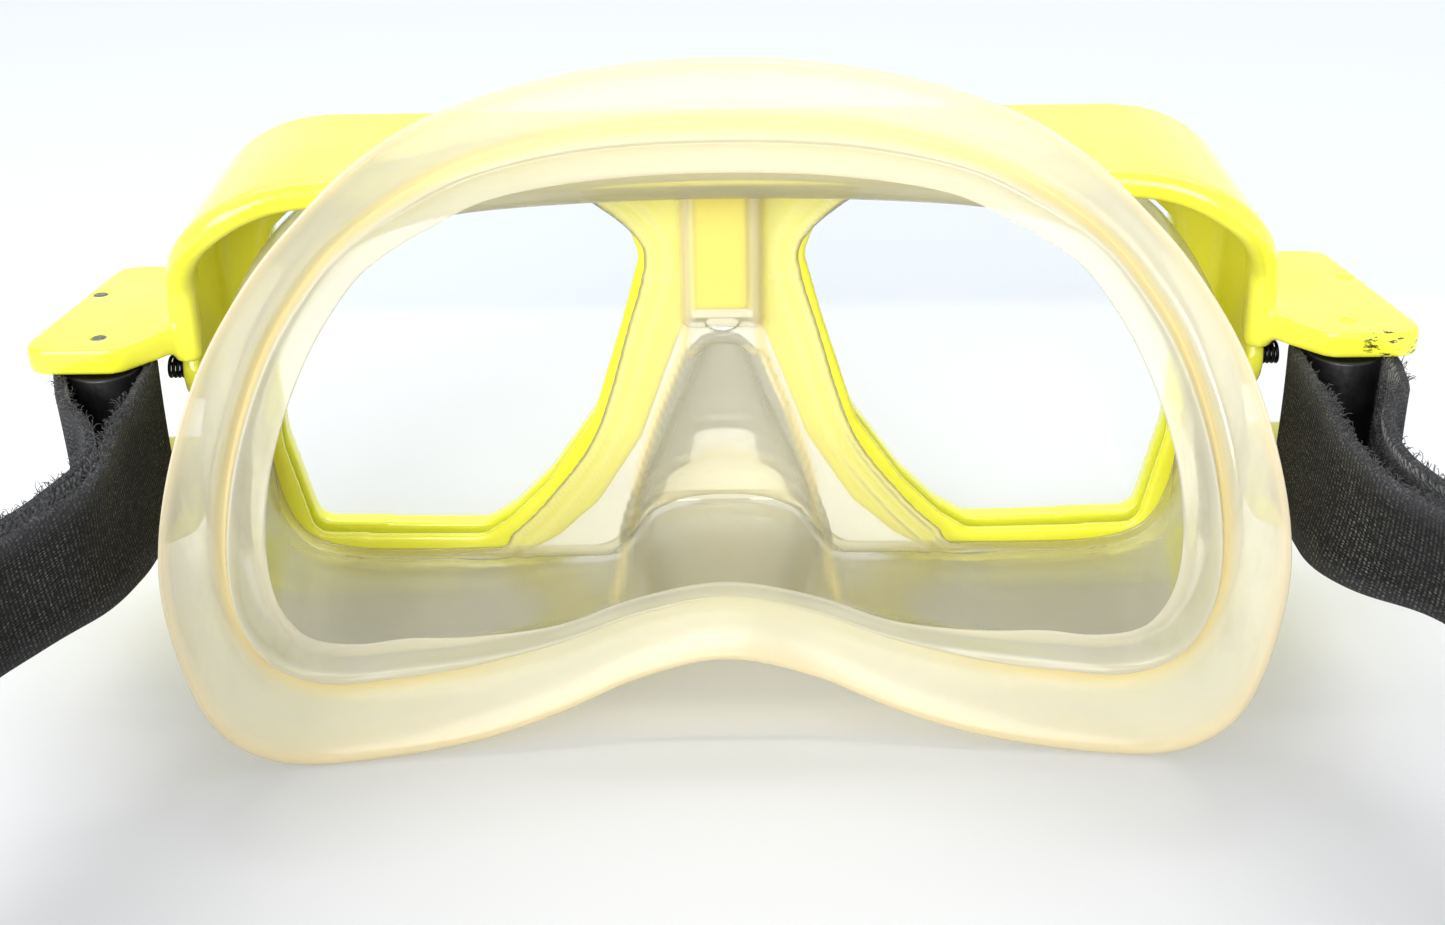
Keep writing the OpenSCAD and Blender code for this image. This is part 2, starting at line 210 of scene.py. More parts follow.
def node(tree, kind, **inputs):
    n = tree.nodes.new(kind)
    for key, value in inputs.items():
        n.inputs[key.replace("_", " ")].default_value = value
    return n


def ramp(tree, source, stops):
    n = tree.nodes.new("ShaderNodeValToRGB")
    while len(n.color_ramp.elements) < len(stops):
        n.color_ramp.elements.new(0.5)
    for e, (at, colour) in zip(n.color_ramp.elements, stops):
        e.position = at
        e.color = (*colour, 1) if len(colour) == 3 else colour
    tree.links.new(source, n.inputs["Fac"])
    return n.outputs["Color"]


def mix(tree, fac, a, b, kind="MIX"):
    n = tree.nodes.new("ShaderNodeMix")
    n.data_type = "RGBA"
    n.blend_type = kind
    for sock, v in ((n.inputs["Factor"], fac), (n.inputs["A"], a), (n.inputs["B"], b)):
        target = sock
        if sock.name in ("A", "B"):
            target = next(s for s in n.inputs if s.name == sock.name and s.type == "RGBA")
        if isinstance(v, bpy.types.NodeSocket):
            tree.links.new(v, target)
        elif isinstance(v, (int, float)):
            target.default_value = v
        else:
            target.default_value = (*v, 1)
    return next(s for s in n.outputs if s.type == "RGBA")


def maths(tree, kind, a, b=None):
    n = tree.nodes.new("ShaderNodeMath")
    n.operation = kind
    for i, v in enumerate((a, b)):
        if v is None:
            continue
        if isinstance(v, bpy.types.NodeSocket):
            tree.links.new(v, n.inputs[i])
        else:
            n.inputs[i].default_value = v
    return n.outputs[0]


def position(tree):
    return tree.nodes.new("ShaderNodeTexCoord").outputs["Object"]


def noise(tree, where, scale, detail=2.0, rough=0.5, stretch=None):
    if stretch:
        m = tree.nodes.new("ShaderNodeMapping")
        m.inputs["Scale"].default_value = stretch
        tree.links.new(where, m.inputs["Vector"])
        where = m.outputs["Vector"]
    n = node(tree, "ShaderNodeTexNoise", Scale=scale, Detail=detail, Roughness=rough)
    tree.links.new(where, n.inputs["Vector"])
    return n.outputs["Fac"]


def bump(tree, shader, height, strength, distance):
    n = node(tree, "ShaderNodeBump", Strength=strength, Distance=distance)
    tree.links.new(height, n.inputs["Height"])
    tree.links.new(n.outputs["Normal"], shader.inputs["Normal"])


def attribute(tree, name):
    n = tree.nodes.new("ShaderNodeAttribute")
    n.attribute_name = name
    return n.outputs["Fac"]


def srgb(code):
    c = np.array([int(code[i:i + 2], 16) / 255 for i in (1, 3, 5)])
    return tuple(float(v) for v in np.where(c <= 0.04045, c / 12.92, ((c + 0.055) / 1.055) ** 2.4))


def yellow_plastic(name, scuffs):
    mat, tree, shader = material(name)
    where = position(tree)
    cloud = noise(tree, where, 45, 4)
    patches = ramp(tree, cloud, [(0.35, (0, 0, 0)), (0.75, (1, 1, 1))])
    colour = mix(tree, patches, srgb("#E9E734"), srgb("#F0EF58"))
    if scuffs:
        # dark rub marks low on the outer right ear
        marks = noise(tree, where, 420, 6, 0.75, (1, 1, 3.0))
        marks = ramp(tree, marks, [(0.54, (0, 0, 0)), (0.60, (1, 1, 1))])
        colour = mix(tree, maths(tree, "MULTIPLY", marks, attribute(tree, "scuff")), colour, srgb("#3A3510"))
    tree.links.new(colour, shader.inputs["Base Color"])
    fine = noise(tree, where, 400, 3)
    tree.links.new(ramp(tree, fine, [(0.3, (0.20,) * 3), (0.8, (0.26,) * 3)]), shader.inputs["Roughness"])
    shader.inputs["Subsurface Weight"].default_value = 0.25
    shader.inputs["Subsurface Radius"].default_value = (1.0, 1.0, 0.2)
    shader.inputs["Subsurface Scale"].default_value = 0.003
    shader.inputs["Coat Weight"].default_value = 0.5
    shader.inputs["Coat Roughness"].default_value = 0.07
    bump(tree, shader, noise(tree, where, 120, 2), 0.06, 0.0003)
    return mat


def silicone(name, thin_clear, thick_clear):
    """Aged translucent silicone, driven by four numbers on its points.
    zone: tan tint of the thick lines. haze: 0 where the wall is clear to 1 where it is milky.
    edge: the darker moulded rim. grime: grey rub. thin_clear and thick_clear are how much one
    surface lets through unbent."""
    mat, tree, shader = material(name)
    where = position(tree)
    zone, haze, edge, grime = (attribute(tree, a) for a in ("zone", "haze", "edge", "grime"))
    cloud = ramp(tree, noise(tree, where, 30, 4, 0.55), [(0.35, (0, 0, 0)), (0.75, (1, 1, 1))])
    base = mix(tree, zone, srgb("#FFFAE6"), srgb("#FCE2A6"))
    base = mix(tree, maths(tree, "MULTIPLY", cloud, 0.4), base, srgb("#FCF1C6"))
    base = mix(tree, edge, base, srgb("#F6E2BC"))
    smear = maths(tree, "MULTIPLY", grime, ramp(tree, noise(tree, where, 60, 5, 0.6, (1, 1, 0.35)),
                                                [(0.42, (0, 0, 0)), (0.70, (1, 1, 1))]))
    base = mix(tree, smear, base, srgb("#B9B7A8"))
    tree.links.new(base, shader.inputs["Base Color"])
    shader.inputs["Roughness"].default_value = 0.5
    shader.inputs["Specular IOR Level"].default_value = 0.0
    shader.inputs["Subsurface Weight"].default_value = 0.5
    shader.inputs["Subsurface Radius"].default_value = (1.0, 0.9, 0.7)
    shader.inputs["Subsurface Scale"].default_value = 0.004
    soft = node(tree, "ShaderNodeBump", Strength=0.08, Distance=0.0006)
    tree.links.new(noise(tree, where, 90, 3, 0.5), soft.inputs["Height"])
    tree.links.new(soft.outputs["Normal"], shader.inputs["Normal"])
    through = tree.nodes.new("ShaderNodeBsdfTranslucent")
    tree.links.new(base, through.inputs["Color"])
    body = tree.nodes.new("ShaderNodeMixShader")
    body.inputs[0].default_value = 0.30
    tree.links.new(shader.outputs[0], body.inputs[1])
    tree.links.new(through.outputs[0], body.inputs[2])
    clear = tree.nodes.new("ShaderNodeBsdfTransparent")
    tree.links.new(mix(tree, zone, (0.995, 0.983, 0.915), (0.97, 0.90, 0.64)), clear.inputs["Color"])
    share = tree.nodes.new("ShaderNodeMapRange")
    share.inputs["To Min"].default_value = thin_clear
    share.inputs["To Max"].default_value = thick_clear
    tree.links.new(maths(tree, "MAXIMUM", haze, smear), share.inputs["Value"])
    # light scattered on through the soft walls, which the surface shaders alone would stop
    path = tree.nodes.new("ShaderNodeLightPath")
    soft_ray = maths(tree, "MAXIMUM", path.outputs["Is Shadow Ray"], path.outputs["Is Diffuse Ray"])
    lit = maths(tree, "MULTIPLY", soft_ray, 0.97)
    inner = tree.nodes.new("ShaderNodeMixShader")
    tree.links.new(maths(tree, "MAXIMUM", share.outputs[0], lit), inner.inputs[0])
    tree.links.new(body.outputs[0], inner.inputs[1])
    tree.links.new(clear.outputs[0], inner.inputs[2])
    shine = tree.nodes.new("ShaderNodeBsdfGlossy")
    tree.links.new(ramp(tree, noise(tree, where, 220, 3), [(0.3, (0.14,) * 3), (0.8, (0.24,) * 3)]),
                   shine.inputs["Roughness"])
    tree.links.new(soft.outputs["Normal"], shine.inputs["Normal"])
    fresnel = node(tree, "ShaderNodeFresnel", IOR=1.41)
    tree.links.new(soft.outputs["Normal"], fresnel.inputs["Normal"])
    last = tree.nodes.new("ShaderNodeMixShader")
    tree.links.new(maths(tree, "MULTIPLY", fresnel.outputs[0], 0.75), last.inputs[0])
    tree.links.new(inner.outputs[0], last.inputs[1])
    tree.links.new(shine.outputs[0], last.inputs[2])
    tree.links.new(last.outputs[0], tree.nodes["Material Output"].inputs["Surface"])
    return mat


def glass_material():
    mat, tree, shader = material("lens_glass")
    tree.nodes.remove(shader)
    clear = tree.nodes.new("ShaderNodeBsdfTransparent")
    clear.inputs["Color"].default_value = (0.985, 0.992, 0.990, 1)
    shine = tree.nodes.new("ShaderNodeBsdfGlossy")
    shine.inputs["Roughness"].default_value = 0.02
    fresnel = node(tree, "ShaderNodeFresnel", IOR=1.45)
    where = position(tree)
    dust = ramp(tree, noise(tree, where, 1500, 5, 0.7), [(0.66, (0, 0, 0)), (0.76, (1, 1, 1))])
    haze = tree.nodes.new("ShaderNodeBsdfDiffuse")
    haze.inputs["Color"].default_value = (0.9, 0.92, 0.92, 1)
    a = tree.nodes.new("ShaderNodeMixShader")
    tree.links.new(maths(tree, "MULTIPLY", fresnel.outputs[0], 0.6), a.inputs[0])
    tree.links.new(clear.outputs[0], a.inputs[1])
    tree.links.new(shine.outputs[0], a.inputs[2])
    b = tree.nodes.new("ShaderNodeMixShader")
    tree.links.new(maths(tree, "MULTIPLY", dust, 0.10), b.inputs[0])
    tree.links.new(a.outputs[0], b.inputs[1])
    tree.links.new(haze.outputs[0], b.inputs[2])
    tree.links.new(b.outputs[0], tree.nodes["Material Output"].inputs["Surface"])
    return mat


def steel_material(name, plugged):
    """Pin steel. A plugged pin's upper end lies under a skin of the frame's own plastic."""
    mat, tree, shader = material(name)
    where = position(tree)
    spots = ramp(tree, noise(tree, where, 1800, 4), [(0.35, srgb("#5C5B58")), (0.7, srgb("#A6A5A0"))])
    if plugged:
        xyz = tree.nodes.new("ShaderNodeSeparateXYZ")
        tree.links.new(where, xyz.inputs[0])
        skin = maths(tree, "GREATER_THAN", xyz.outputs["Z"], 0.0545)
        spots = mix(tree, skin, spots, srgb("#E3DF34"))
        tree.links.new(maths(tree, "SUBTRACT", 1.0, skin), shader.inputs["Metallic"])
    else:
        shader.inputs["Metallic"].default_value = 1.0
    tree.links.new(spots, shader.inputs["Base Color"])
    tree.links.new(ramp(tree, noise(tree, where, 900, 3), [(0.3, (0.3,) * 3), (0.8, (0.5,) * 3)]),
                   shader.inputs["Roughness"])
    return mat


def black_plastic(name, code="#0B0B0C"):
    mat, tree, shader = material(name)
    where = position(tree)
    tone = mix(tree, ramp(tree, noise(tree, where, 300, 4), [(0.4, (0, 0, 0)), (0.8, (1, 1, 1))]), srgb(code),
               srgb("#1E1E20"))
    tree.links.new(tone, shader.inputs["Base Color"])
    tree.links.new(ramp(tree, noise(tree, where, 1400, 3), [(0.3, (0.32,) * 3), (0.8, (0.48,) * 3)]),
                   shader.inputs["Roughness"])
    bump(tree, shader, noise(tree, where, 2500, 3), 0.15, 0.0001)
    return mat


def wire_material():
    mat, tree, shader = material("spring_wire")
    where = position(tree)
    tree.links.new(ramp(tree, noise(tree, where, 2500, 3), [(0.4, srgb("#101010")), (0.8, srgb("#3A3936"))]),
                   shader.inputs["Base Color"])
    shader.inputs["Metallic"].default_value = 0.8
    shader.inputs["Roughness"].default_value = 0.4
    return mat


def weave_material(name, dark, light, pitch=0.00105):
    """A fine plain weave drawn in the strap's own length (u) and height (v)."""
    mat, tree, shader = material(name)
    u, v = attribute(tree, "u"), attribute(tree, "v")
    where = position(tree)
    k = 2 * math.pi / pitch
    drift = maths(tree, "MULTIPLY", noise(tree, where, 500, 2), pitch * 1.4)
    slant = maths(tree, "ADD", u, maths(tree, "MULTIPLY", v, 0.5))
    across = maths(tree, "SUBTRACT", v, maths(tree, "MULTIPLY", u, 0.5))
    a = maths(tree, "SINE", maths(tree, "MULTIPLY", maths(tree, "ADD", slant, drift), k))
    b = maths(tree, "SINE", maths(tree, "MULTIPLY", maths(tree, "ADD", across, drift), k))
    cell = maths(tree, "MULTIPLY", maths(tree, "ADD", maths(tree, "MULTIPLY", a, b), 1.0), 0.5)
    fluff = noise(tree, where, 1500, 4, 0.7)
    glint = maths(tree, "MULTIPLY", ramp(tree, cell, [(0.50, (0, 0, 0)), (0.80, (1, 1, 1))]),
                  ramp(tree, fluff, [(0.44, (0, 0, 0)), (0.60, (1, 1, 1))]))
    patches = ramp(tree, noise(tree, where, 70, 3), [(0.35, (0.45,) * 3), (0.7, (1, 1, 1))])
    tone = mix(tree, cell, srgb(dark), srgb(light))
    tone = mix(tree, maths(tree, "MULTIPLY", glint, patches), tone, srgb("#6E6E68"))
    rim = ramp(tree, maths(tree, "ABSOLUTE", v), [(0.0113, (0, 0, 0)), (0.0122, (1, 1, 1))])
    tone = mix(tree, maths(tree, "MULTIPLY", rim, 0.55), tone, srgb("#56565A"))
    tree.links.new(tone, shader.inputs["Base Color"])
    shader.inputs["Roughness"].default_value = 0.9
    shader.inputs["Specular IOR Level"].default_value = 0.25
    bump(tree, shader, cell, 0.55, 0.00022)
    return mat


def pile_material(name):
    mat, tree, shader = material(name)
    where = position(tree)
    loops = node(tree, "ShaderNodeTexVoronoi", Scale=1300.0)
    tree.links.new(where, loops.inputs["Vector"])
    tone = ramp(tree, loops.outputs["Distance"], [(0.0, srgb("#34353A")), (0.55, srgb("#08080A"))])
    tone = mix(tree, ramp(tree, noise(tree, where, 2400, 3), [(0.55, (0, 0, 0)), (0.75, (1, 1, 1))]), tone,
               srgb("#4A4B50"))
    tree.links.new(tone, shader.inputs["Base Color"])
    shader.inputs["Roughness"].default_value = 0.95
    shader.inputs["Sheen Weight"].default_value = 0.4
    shader.inputs["Sheen Roughness"].default_value = 0.6
    bump(tree, shader, maths(tree, "SUBTRACT", 1.0, loops.outputs["Distance"]), 1.0, 0.0007)
    return mat


def neoprene_material(name):
    mat, tree, shader = material(name)
    where = position(tree)
    knit = node(tree, "ShaderNodeTexVoronoi", Scale=1700.0)
    tree.links.new(where, knit.inputs["Vector"])
    tone = mix(tree, ramp(tree, noise(tree, where, 70, 4), [(0.35, (0, 0, 0)), (0.75, (1, 1, 1))]),
               srgb("#121214"), srgb("#202024"))
    tone = mix(tree, ramp(tree, knit.outputs["Distance"], [(0.0, (0.35,) * 3), (0.5, (0, 0, 0))]), tone,
               srgb("#34343A"))
    tree.links.new(tone, shader.inputs["Base Color"])
    shader.inputs["Roughness"].default_value = 0.8
    shader.inputs["Sheen Weight"].default_value = 0.3
    shader.inputs["Sheen Roughness"].default_value = 0.45
    bump(tree, shader, knit.outputs["Distance"], 0.5, 0.0003)
    return mat


def thread_material(name, code):
    mat, tree, shader = material(name)
    where = position(tree)
    tree.links.new(ramp(tree, noise(tree, where, 3000, 2), [(0.3, srgb(code)), (0.8, srgb("#3C3C3E"))]),
                   shader.inputs["Base Color"])
    shader.inputs["Roughness"].default_value = 0.75
    shader.inputs["Sheen Weight"].default_value = 0.2
    return mat


YELLOW = yellow_plastic("frame_plastic", True)
YELLOW_TRIM = yellow_plastic("bezel_plastic", False)
SKIRT = silicone("skirt_silicone", 0.88, 0.12)
GLASS = glass_material()
PINS = {"left": steel_material("pin_steel", False), "right": steel_material("pin_steel_plugged", True)}
BLACK = black_plastic("black_plastic")
WIRE = wire_material()
WOVEN = weave_material("strap_woven_face", "#0A0A0C", "#1B1B1E")
PILE = pile_material("strap_pile_face")
NEOPRENE = neoprene_material("pad_neoprene")
HOOKS = pile_material("hook_tape")
THREAD = thread_material("sewing_thread", "#151517")


def repaint(name, mat, bevel=None):
    """A carried-over CAD node gets its material, and a small bevel where its real edges are rounded."""
    obj = nodes[name]
    if not obj.material_slots:
        obj.data.materials.append(mat)
    for s in obj.material_slots:
        s.link = "OBJECT"
        s.material = mat
    if bevel:
        weld = obj.modifiers.new("Weld", "WELD")
        weld.merge_threshold = 1e-6
        mod = obj.modifiers.new("Bevel", "BEVEL")
        mod.width = bevel
        mod.segments = 3
        mod.limit_method = "ANGLE"
        mod.angle_limit = math.radians(40)
        mod.harden_normals = True
    return obj


for side in ("left", "right"):
    repaint("lens_" + side, GLASS)
    repaint("roller_pin_" + side, PINS[side])
    repaint("lever_pin_" + side, PINS[side])
    repaint("strap_roller_" + side, BLACK, 0.0004)
    repaint("strap_lever_" + side, BLACK, 0.0003)
    repaint("bezel_clip_" + side, YELLOW_TRIM, 0.0003)

# ---------------------------------------------------------------- frame moulding
HALF_W, HOOD_H, CORNER_R = 81.0, 79.0, 21.0
BROW_CY, BROW_R = -221.2, 236.2
EAR_TOP = 56.0


def hood_edge(inset, forward):
    """The hood's rear edge from the left ear over the top to the right ear, inset from the outside."""
    pts = [(-HALF_W, EAR_TOP - 6), (-HALF_W, HOOD_H - CORNER_R)]
    pts += [(-HALF_W + CORNER_R - CORNER_R * math.cos(a), HOOD_H - CORNER_R + CORNER_R * math.sin(a))
            for a in np.linspace(0, math.pi / 2, 24)]
    pts += [(x, HOOD_H) for x in np.linspace(-HALF_W + CORNER_R, 0, 26)[1:]]
    half = np.array(pts)
    flat = np.vstack([half, half[-2::-1] * (-1, 1)])
    centre_x = np.clip(flat[:, 0], -(HALF_W - CORNER_R), HALF_W - CORNER_R)
    centre_z = np.minimum(flat[:, 1], HOOD_H - CORNER_R)
    away = np.column_stack([flat[:, 0] - centre_x, flat[:, 1] - centre_z])
    away /= np.linalg.norm(away, axis=1)[:, None]
    y_brow = BROW_CY + np.sqrt(np.maximum(BROW_R**2 - flat[:, 0] ** 2, 0))
    y_side = np.interp(flat[:, 1], [0, 51.8, 62, 68, 74, 90], [12, 12, 12, 8, 4.5, 4.5])
    y = np.maximum(y_brow, y_side) + forward
    return np.column_stack([flat[:, 0] - away[:, 0] * inset, y, flat[:, 1] - away[:, 1] * inset])


def smooth_line(p, rounds):
    p = p.copy()
    for _ in range(rounds):
        p[1:-1] = 0.25 * p[:-2] + 0.5 * p[1:-1] + 0.25 * p[2:]
    return p


frame_piece = node_copy("frame", "frame_moulding", [YELLOW])
bead_line = smooth_line(even(hood_edge(2.05, 0.9), 220), 6)
bead_v, bead_f = tube(place(bead_line), 0.00215, 16)
bead_piece = make_mesh("bead_tmp", bead_v, bead_f, [YELLOW])
outward(bead_piece)
bm = bmesh.new()
bm.from_mesh(frame_piece.data)
bm.from_mesh(bead_piece.data)
bm.to_mesh(frame_piece.data)
bm.free()
bpy.data.objects.remove(bead_piece)
moulded(frame_piece, 0.00056, 11)
co = np.array([v.co for v in frame_piece.data.vertices], float) * 1000
y_face = co[:, 1] + MID_Y
store(frame_piece, "scuff", step(89, 93, co[:, 0]) * step(5.6, 4.2, y_face) * step(50, 52, co[:, 2]))
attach(frame_piece, "mask")
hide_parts("frame")

bezel_piece = node_copy("front_bezel", "front_bezel_ring", [YELLOW_TRIM])
moulded(bezel_piece, 0.0006, 4)
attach(bezel_piece, "mask")
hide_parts("front_bezel")

# ---------------------------------------------------------------- skirt
LIP = [(0, 2, 97.5), (20, 0.5, 96), (37.5, -3, 91.8), (48, -7.5, 86.5), (56, -11, 79.5), (62, -15, 73),
       (68, -21, 63.5), (72, -27, 52), (74.3, -30, 40), (74.5, -29.5, 28), (72.8, -27, 14), (69, -24, 5.5),
       (62, -21.3, 0.8), (50, -19.5, 0.4), (36, -17.5, 2), (24, -15, 5), (13, -12.5, 9), (0, -12, 12)]
GROOVE = [(0, 3.2, 87.6), (18.5, 2.2, 86.9), (34, 0, 83.8), (43.5, -3.2, 79.8), (50.5, -6.3, 75.4),
          (55.5, -9.5, 70.5), (61, -14.5, 62.5), (65, -20.5, 51.5), (67, -24.5, 40), (67, -25.4, 30),
          (64.9, -24, 22), (61.8, -21.3, 16.5), (56.5, -18.5, 12.8), (48.5, -16.8, 12.4), (36, -14.6, 13),
          (24, -12.2, 15), (13, -10, 18.5), (0, -9.4, 21)]
INNER = [(0, 5.5, 80.3), (17, 4.6, 79.8), (31, 2.3, 78.2), (38.5, 0, 75.4), (45.5, -3, 72.2), (50.3, -6, 68.6),
         (56, -12, 60.5), (60, -19, 50), (61.5, -23, 39.5), (61.2, -23.5, 31), (59.2, -22.4, 25),
         (56.4, -20.8, 21.8), (51, -18.6, 19.9), (45, -16.8, 19.6), (36, -14.2, 18), (24, -11.8, 18.2),
         (13, -9.6, 21.2), (0, -9, 23.4)]
WAIST = [(0, 14.2, 74.2), (19, 13, 74.2), (36, 10, 74), (46, 6.5, 73), (53.5, 3, 71), (59.5, 0.5, 67.5),
         (65.5, -3, 60.5), (70, -6, 50.5), (72, -8, 40), (72, -8, 29), (70.3, -7, 19), (66.5, -5, 12),
         (60, -3, 8.5), (50, -1.5, 7.6), (38, 0, 7.2), (25, 2, 7.8), (13, 4, 9), (0, 5, 9.8)]
ROOT = [(0, 72.5), (20, 72.5), (38, 72.3), (49, 71.8), (57, 70.3), (64, 67), (70, 61), (75, 50), (76.3, 40),
        (76.3, 28), (75, 15), (71, 7), (63, 3.8), (51, 3.3), (38, 3.4), (26, 3.6), (13, 3.8), (0, 4)]
LENS = [(13, 57), (16, 46), (21.7, 28), (29.7, 16.5), (36, 10), (41, 6.8), (69, 7.5), (72.5, 24), (73, 44),
        (70, 62), (61, 70), (27, 70.5), (20.5, 66.5), (14.5, 61.5)]
WEB_Y, WEB_T, WALL = 31.3, 2.5, 2.0

PER = 4
lip = loop_points(full_loop(LIP), PER)
groove = loop_points(full_loop(GROOVE), PER)
tip = loop_points(full_loop(INNER), PER)
waist = loop_points(full_loop(WAIST), PER)
root = loop_points(full_loop([(x, WEB_Y, z) for x, z in ROOT]), PER)
# the lower wall runs on forwards as the floor of the nose pocket
pocket_floor = step(18.5, 12.0, np.abs(root[:, 0])) * (root[:, 2] < 20)
root[:, 1] += 14.0 * pocket_floor
root[:, 2] += 2.2 * pocket_floor


def inward(p):
    t = np.roll(p, -1, 0) - np.roll(p, 1, 0)
    n = np.column_stack([t[:, 2], np.zeros(len(t)), -t[:, 0]])
    return n / np.linalg.norm(n, axis=1)[:, None]


waist_in = waist + inward(waist) * WALL
root_in = root + inward(root) * WALL
fwd = np.array([0, 1.0, 0])
# 1 where the inner lip stands free, 0 along the upper lip where both lips run together
free = step(22, 46, np.hypot(np.abs(groove[:, 0]), 2.2 * np.maximum(groove[:, 2] - 18, 0)))[:, None]


def between(a, b, k):
    return a + (b - a) * k


# the side wall stands out towards the hood's upper corners
bulge = inward(waist) * (step(45, 60, np.abs(waist[:, 0])) * step(25, 40, waist[:, 2]))[:, None]
# (points round the loop, zone, haze, edge) for each line of the section
section = [
    (lip - 0.10 * fwd, 0.30, 0.80, 1.0),
    (between(lip, groove, 0.12) - 0.30 * fwd, 0.30, 0.78, 1.0),
    (between(lip, groove, 0.20) + 0.30 * fwd, 0.05, 0.50, 0.25),
    (between(lip, groove, 0.48) + 1.0 * fwd, 0.05, 0.44, 0.0),
    (between(lip, groove, 0.78) + (0.9 + 0.3 * free) * fwd, 0.15, 0.46, 0.0),
    (between(lip, groove, 0.90) + (0.5 + 1.1 * free) * fwd, 0.85, 0.72, 0.0),
    (between(lip, groove, 1.02) + (0.4 + 1.4 * free) * fwd, 1.0, 0.80, 0.0),
    (between(groove, tip, 0.13) + (0.3 - 1.7 * free) * fwd, 0.45, 0.70, 0.0),
    (between(groove, tip, 0.21) + (0.3 - 1.7 * free) * fwd, 0.05, 0.45, 0.0),
    (between(groove, tip, 0.36) + (0.2 - 0.4 * free) * fwd, 0.0, 0.36, 0.0),
    (between(groove, tip, 0.80) + 0.1 * fwd, 0.0, 0.32, 0.0),
    (tip - 0.20 * fwd, 0.0, 0.42, 0.0),
    (tip + 0.40 * fwd, 0.0, 0.42, 0.0),
    (between(groove, tip, 0.80) + 1.4 * fwd, 0.0, 0.30, 0.0),
    (between(groove, tip, 0.30) + 3.2 * fwd, 0.2, 0.30, 0.0),
    (between(between(groove, tip, 0.2) + 4.5 * fwd, waist_in, 0.35), 0.25, 0.22, 0.0),
    (waist_in, 0.15, 0.34, 0.0),
    (between(waist_in, root_in, 0.5), 0.08, 0.30, 0.0),
    (between(waist_in, root_in, 0.9), 0.05, 0.24, 0.0),
    (root_in, 0.1, 0.12, 0.0),
    (root_in + WEB_T * fwd, 0.1, 0.12, 0.0),
    (root + WEB_T * fwd, 0.1, 0.12, 0.0),
    (root, 0.1, 0.12, 0.0),
    (between(root, waist, 0.5) - 3.0 * bulge, 0.12, 0.66, 0.0),
    (waist - 2.6 * bulge, 0.15, 0.70, 0.0),
    (between(waist, between(groove, lip, 0.06) + 3.2 * fwd, 0.65) - 1.2 * bulge, 0.25, 0.55, 0.0),
    (between(groove, lip, 0.06) + 3.2 * fwd, 0.4, 0.40, 0.0),
    (between(lip, groove, 0.5) + 2.2 * fwd, 0.05, 0.36, 0.0),
    (between(lip, groove, 0.16) + 1.5 * fwd, 0.15, 0.55, 0.6),
    (lip + 1.15 * fwd, 0.35, 0.80, 1.0),
]
rows = np.stack([s[0] for s in section], axis=1)
n_round, n_across = rows.shape[:2]
skirt_faces = grid_faces(n_round, n_across, True, True)
skirt_piece = make_mesh("skirt_lips", place(rows.reshape(-1, 3)), skirt_faces, [SKIRT])
zone = np.array([s[1] for s in section])[None, :] * np.ones((n_round, 1))
zone[:, 4:10] = 0.05 + (zone[:, 4:10] - 0.05) * free
zone = zone.ravel()
haze = np.array([s[2] for s in section])[None, :] * np.ones((n_round, 1))
haze[:, 4:10] = 0.36 + (haze[:, 4:10] - 0.36) * free
# the lower wall is clearer than the sides
haze[:, 15:26] *= 1 - 0.6 * step(30, 14, waist[:, 2])[:, None]
haze = haze.ravel()
edge = np.tile([s[3] for s in section], n_round)
flat = rows.reshape(-1, 3)
on_lip = np.tile([1.0 if i in (2, 3, 4, 9, 10, 26, 27) else 0.0 for i in range(n_across)], n_round)
grime = 0.75 * on_lip * step(40, 60, np.abs(flat[:, 0])) * step(12, 24, flat[:, 2]) * step(66, 50, flat[:, 2])
for name, value in (("zone", zone), ("haze", haze), ("edge", edge), ("grime", grime)):
    store(skirt_piece, name, value)
outward(skirt_piece)
sub = skirt_piece.modifiers.new("Smooth", "SUBSURF")
sub.levels = sub.render_levels = 2
apply_all(skirt_piece)
# the pocket's two side lines run on over the floor towards the upper lip
co = np.array([v.co for v in skirt_piece.data.vertices], float) * 1000
y_face = co[:, 1] + MID_Y
line_x = 16.6 + 0.03 * (31 - y_face)
line = np.exp(-(((np.abs(co[:, 0]) - line_x) / 0.8) ** 2))
line *= step(5, 9, y_face) * step(33, 30, y_face) * step(18, 15, co[:, 2])
for name in ("zone", "haze"):
    data = skirt_piece.data.attributes[name].data
    value = np.zeros(len(co), np.float32)
    data.foreach_get("value", value)
    data.foreach_set("value", np.clip(value + 0.7 * line, 0, 1).astype(np.float32))


# ---- web and nose pocket: a depth field over the front view
def inside(poly, x, z):
    poly = np.asarray(poly, float)
    hit = np.zeros(x.shape, bool)
    for (x0, z0), (x1, z1) in zip(poly, np.roll(poly, -1, 0)):
        cross = (z0 > z) != (z1 > z)
        with np.errstate(divide="ignore", invalid="ignore"):
            at = x0 + (z - z0) * (x1 - x0) / (z1 - z0)
        hit ^= cross & (x < at)
    return hit


def nearest(poly, x, z):
    """Closest points on a closed outline, and their distances."""
    poly = np.asarray(poly, float)
    best = np.full(x.shape, 1e9)
    px, pz = x.copy(), z.copy()
    for (x0, z0), (x1, z1) in zip(poly, np.roll(poly, -1, 0)):
        dx, dz = x1 - x0, z1 - z0
        t = np.clip(((x - x0) * dx + (z - z0) * dz) / (dx * dx + dz * dz + 1e-12), 0, 1)
        qx, qz = x0 + t * dx, z0 + t * dz
        d = np.hypot(x - qx, z - qz)
        m = d < best
        best[m], px[m], pz[m] = d[m], qx[m], qz[m]
    return px, pz, best


lens_loop = loop_points([(x, z) for x, z in LENS], 10)
root_loop = root_in[:, [0, 2]]


